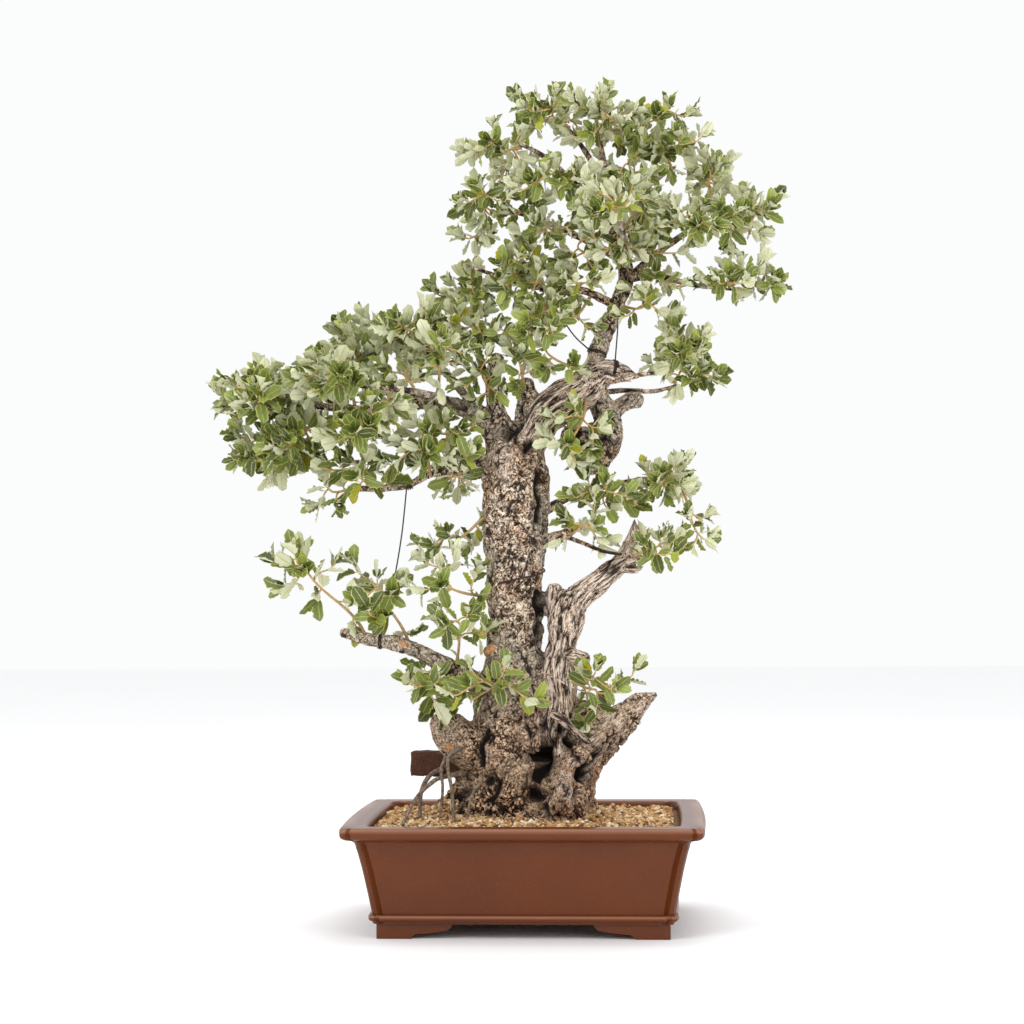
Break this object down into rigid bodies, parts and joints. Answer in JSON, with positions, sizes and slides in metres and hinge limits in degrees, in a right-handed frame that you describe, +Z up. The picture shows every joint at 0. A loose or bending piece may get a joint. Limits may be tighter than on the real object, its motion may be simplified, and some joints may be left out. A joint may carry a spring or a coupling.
{
  "type": "holm oak bonsai in a clay pot",
  "caption": "Old leaning holm oak bonsai with toothed evergreen leaves, cracked bark and bleached deadwood, in a low rectangular unglazed clay pot.",
  "frame": {"origin": "bottom centre of the whole plant's box, on the surface that the pot's feet stand on", "axes": "+Z up the trunk, +X along the pot's long side to the viewer's right, +Y away from the viewer"},
  "size_m": [0.7322, 0.3426, 1.0294],
  "materials": {
    "clay": "unglazed reddish brown clay with a faint sheen",
    "grit": "loose ochre and pale grit, matt",
    "bark": "cracked grey brown bark with pale lichen, and bleached deadwood",
    "leaf": "leathery leaves, green and glossy above, pale grey felt below",
    "wire": "dark annealed training wire"
  },
  "bodies": {
    "root": {"pot": "clay", "soil": "grit", "trunk": "bark", "guy_wire_left": "wire", "guy_wire_centre": "wire", "guy_wire_leader": "wire", "spray_01": "leaf", "spray_02": "leaf", "spray_03": "leaf", "spray_04": "leaf", "spray_05": "leaf", "spray_06": "leaf", "spray_07": "leaf", "spray_08": "leaf", "spray_09": "leaf", "spray_10": "leaf", "spray_11": "leaf", "spray_12": "leaf", "spray_13": "leaf", "spray_14": "leaf", "spray_15": "leaf", "spray_16": "leaf", "spray_17": "leaf", "spray_18": "leaf", "spray_19": "leaf", "spray_20": "leaf", "spray_21": "leaf", "spray_22": "leaf", "spray_23": "leaf", "spray_24": "leaf", "spray_25": "leaf", "spray_26": "leaf", "spray_27": "leaf", "spray_28": "leaf", "spray_29": "leaf", "spray_30": "leaf", "spray_31": "leaf", "spray_32": "leaf", "spray_33": "leaf", "spray_34": "leaf", "spray_35": "leaf", "spray_36": "leaf", "spray_37": "leaf", "spray_38": "leaf", "spray_39": "leaf", "spray_40": "leaf", "spray_41": "leaf"}
  },
  "joints": []
}
